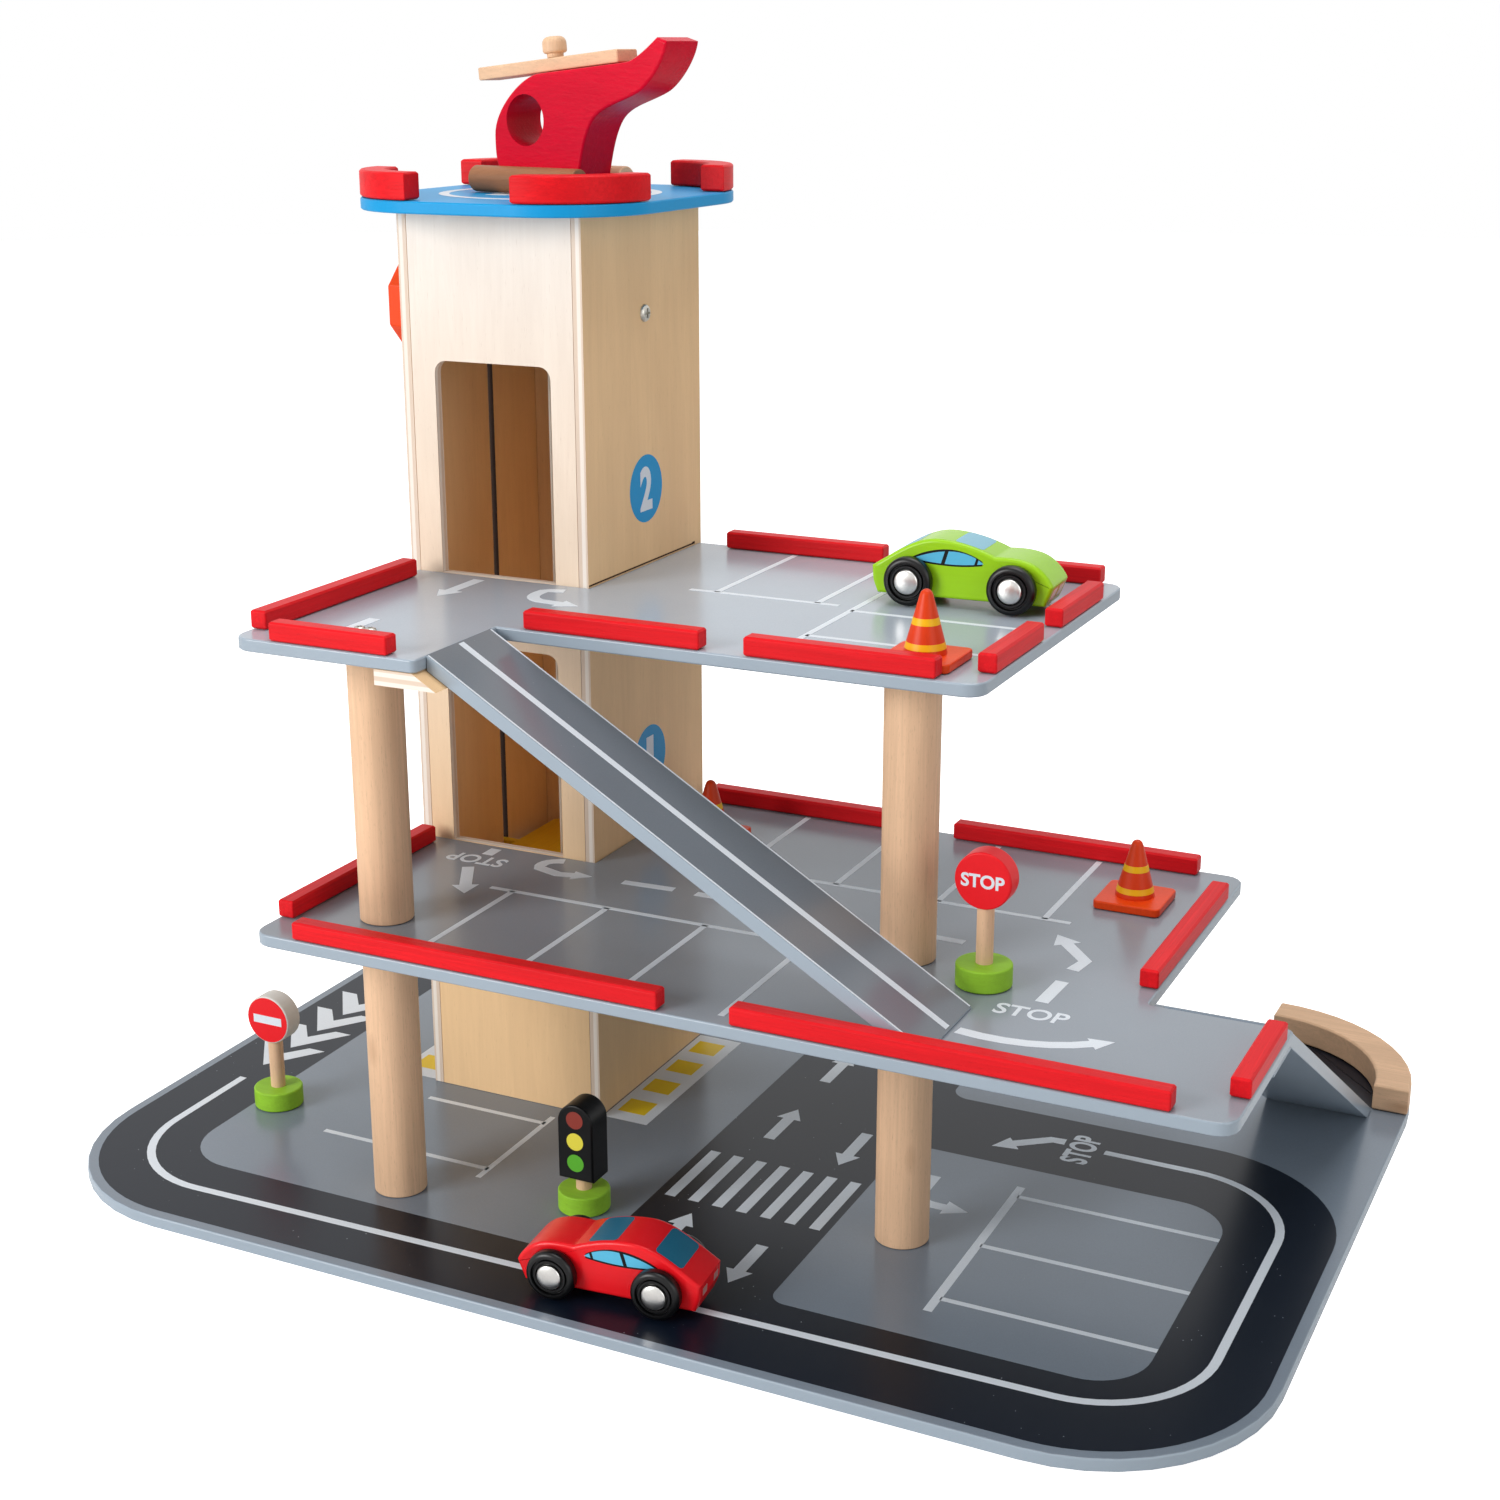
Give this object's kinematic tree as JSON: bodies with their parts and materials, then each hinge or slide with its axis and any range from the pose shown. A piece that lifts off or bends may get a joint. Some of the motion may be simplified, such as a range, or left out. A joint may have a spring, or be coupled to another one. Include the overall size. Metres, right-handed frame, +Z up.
{
  "type": "toy parking garage",
  "caption": "Wooden toy parking garage with a crank lift in a square tower, two decks on posts, two ramps, a helicopter pad, cars, road signs and cones.",
  "frame": {"origin": "centre of the base board's underside, on the surface that the garage stands on", "axes": "+X to the right along the long side, +Y to the back, +Z up; the lift tower stands at the left"},
  "size_m": [0.598, 0.445, 0.5354],
  "materials": {
    "grey_boards": "satin printed grey paint on fibreboard",
    "red_curbs": "satin red stain on square bar",
    "beech": "clear lacquered beech",
    "birch_plywood": "clear lacquered birch plywood",
    "blue_board": "satin blue paint",
    "yellow_board": "satin yellow paint",
    "orange_wood": "satin orange paint",
    "red_gloss": "semi-gloss red paint",
    "green_gloss": "semi-gloss green paint",
    "green_wood": "satin green stain with a natural post",
    "sign_discs": "red painted face on natural wood",
    "black_wood": "satin black paint",
    "tyres": "moulded black tyre with a bright hub cap",
    "cord": "twisted white cord"
  },
  "bodies": {
    "root": {"base_board": "grey_boards", "exit_guide_curb": "beech", "middle_deck": "grey_boards", "upper_deck": "grey_boards", "left_lower_post": "beech", "left_upper_post": "beech", "right_lower_post": "beech", "right_upper_post": "beech", "tower_front_wall": "birch_plywood", "tower_back_wall": "birch_plywood", "tower_left_wall": "birch_plywood", "tower_right_wall": "birch_plywood", "upper_ramp": "grey_boards", "exit_ramp": "grey_boards", "ramp_ledge": "birch_plywood", "exit_ramp_ledge": "birch_plywood", "upper_curb_left": "red_curbs", "upper_curb_front_left": "red_curbs", "upper_curb_front_middle": "red_curbs", "upper_curb_front_right": "red_curbs", "upper_curb_right_front": "red_curbs", "upper_curb_right_back": "red_curbs", "upper_curb_back_left": "red_curbs", "upper_curb_back_right": "red_curbs", "middle_curb_left": "red_curbs", "middle_curb_front_left": "red_curbs", "middle_curb_front_right": "red_curbs", "middle_curb_tab_end": "red_curbs", "middle_curb_right": "red_curbs", "middle_curb_back_right": "red_curbs", "middle_curb_back_left": "red_curbs", "helipad": "blue_board", "helipad_curb_front_left": "red_curbs", "helipad_curb_front_right": "red_curbs", "helipad_curb_back_left": "red_curbs", "helipad_curb_back_right": "red_curbs", "lift_cord": "cord"},
    "lift": {"lift_platform": "yellow_board"},
    "winder": {"winding_spool": "beech", "crank_knob": "orange_wood"},
    "helicopter": {"helicopter_body": "red_gloss", "helicopter_skid_near": "beech", "helicopter_skid_far": "beech", "rotor_peg": "beech"},
    "rotor": {"helicopter_rotor": "beech"},
    "red_car": {"red_car_body": "red_gloss"},
    "red_front_wheels": {"red_car_front_wheels": "tyres"},
    "red_rear_wheels": {"red_car_rear_wheels": "tyres"},
    "green_car": {"green_car_body": "green_gloss"},
    "green_front_wheels": {"green_car_front_wheels": "tyres"},
    "green_rear_wheels": {"green_car_rear_wheels": "tyres"},
    "cone_upper": {"cone_upper_deck": "orange_wood"},
    "cone_right": {"cone_middle_deck_right": "orange_wood"},
    "cone_back": {"cone_middle_deck_back": "orange_wood"},
    "stop_sign": {"stop_sign_stand": "green_wood", "stop_sign_head": "sign_discs"},
    "no_entry_sign": {"no_entry_sign_stand": "green_wood", "no_entry_sign_head": "sign_discs"},
    "traffic_light": {"traffic_light_stand": "green_wood", "traffic_light_head": "black_wood"}
  },
  "joints": [
    {"name": "lift_travel", "type": "slide", "parent": "root", "child": "lift", "axis": [0, 0, 1], "range_m": [-0.108, 0.163], "deforming": ["lift_cord"]},
    {"name": "crank_turn", "type": "hinge", "parent": "root", "child": "winder", "pos_m": [-0.124, 0.0185, 0.4076], "axis": [1, 0, 0], "range_deg": [-1400, 930]},
    {"name": "helicopter_lift_off", "type": "slide", "parent": "root", "child": "helicopter", "axis": [0, 0, 1], "range_m": [0, 0.12]},
    {"name": "rotor_spin", "type": "hinge", "parent": "helicopter", "child": "rotor", "pos_m": [-0.11813, 0.0166, 0.5187], "axis": [-0.0955, 0.0203, 0.9952], "continuous": true},
    {"name": "red_car_roll", "type": "slide", "parent": "root", "child": "red_car", "axis": [-0.9952, -0.0976, 0], "range_m": [-0.12, 0.08]},
    {"name": "red_front_axle", "type": "hinge", "parent": "red_car", "child": "red_front_wheels", "pos_m": [-0.00843, -0.18871, 0.0178], "axis": [0.0976, -0.9952, 0], "continuous": true},
    {"name": "red_rear_axle", "type": "hinge", "parent": "red_car", "child": "red_rear_wheels", "pos_m": [0.04063, -0.1839, 0.0178], "axis": [0.0976, -0.9952, 0], "continuous": true},
    {"name": "green_car_roll", "type": "slide", "parent": "root", "child": "green_car", "axis": [0.9992, 0.041, 0], "range_m": [-0.11, 0.004]},
    {"name": "green_front_axle", "type": "hinge", "parent": "green_car", "child": "green_front_wheels", "pos_m": [0.12553, 0.00801, 0.2958], "axis": [-0.041, 0.9992, 0], "continuous": true},
    {"name": "green_rear_axle", "type": "hinge", "parent": "green_car", "child": "green_rear_wheels", "pos_m": [0.07627, 0.00599, 0.2958], "axis": [-0.041, 0.9992, 0], "continuous": true},
    {"name": "cone_upper_lift_off", "type": "slide", "parent": "root", "child": "cone_upper", "axis": [0, 0, 1], "range_m": [0, 0.08]},
    {"name": "cone_right_lift_off", "type": "slide", "parent": "root", "child": "cone_right", "axis": [0, 0, 1], "range_m": [0, 0.06]},
    {"name": "cone_back_lift_off", "type": "slide", "parent": "root", "child": "cone_back", "axis": [0, 0, 1], "range_m": [0, 0.06]},
    {"name": "stop_sign_lift_off", "type": "slide", "parent": "root", "child": "stop_sign", "axis": [0, 0, 1], "range_m": [0, 0.06]},
    {"name": "no_entry_sign_lift_off", "type": "slide", "parent": "root", "child": "no_entry_sign", "axis": [0, 0, 1], "range_m": [0, 0.08]},
    {"name": "traffic_light_lift_off", "type": "slide", "parent": "root", "child": "traffic_light", "axis": [0, 0, 1], "range_m": [0, 0.06]}
  ],
  "couplings": [
    {"joint": "crank_turn", "follows": "lift_travel", "rad_per_m": -148.15},
    {"joint": "red_front_axle", "follows": "red_car_roll", "rad_per_m": 86.957},
    {"joint": "red_rear_axle", "follows": "red_car_roll", "rad_per_m": 86.957},
    {"joint": "green_front_axle", "follows": "green_car_roll", "rad_per_m": 86.957},
    {"joint": "green_rear_axle", "follows": "green_car_roll", "rad_per_m": 86.957}
  ]
}
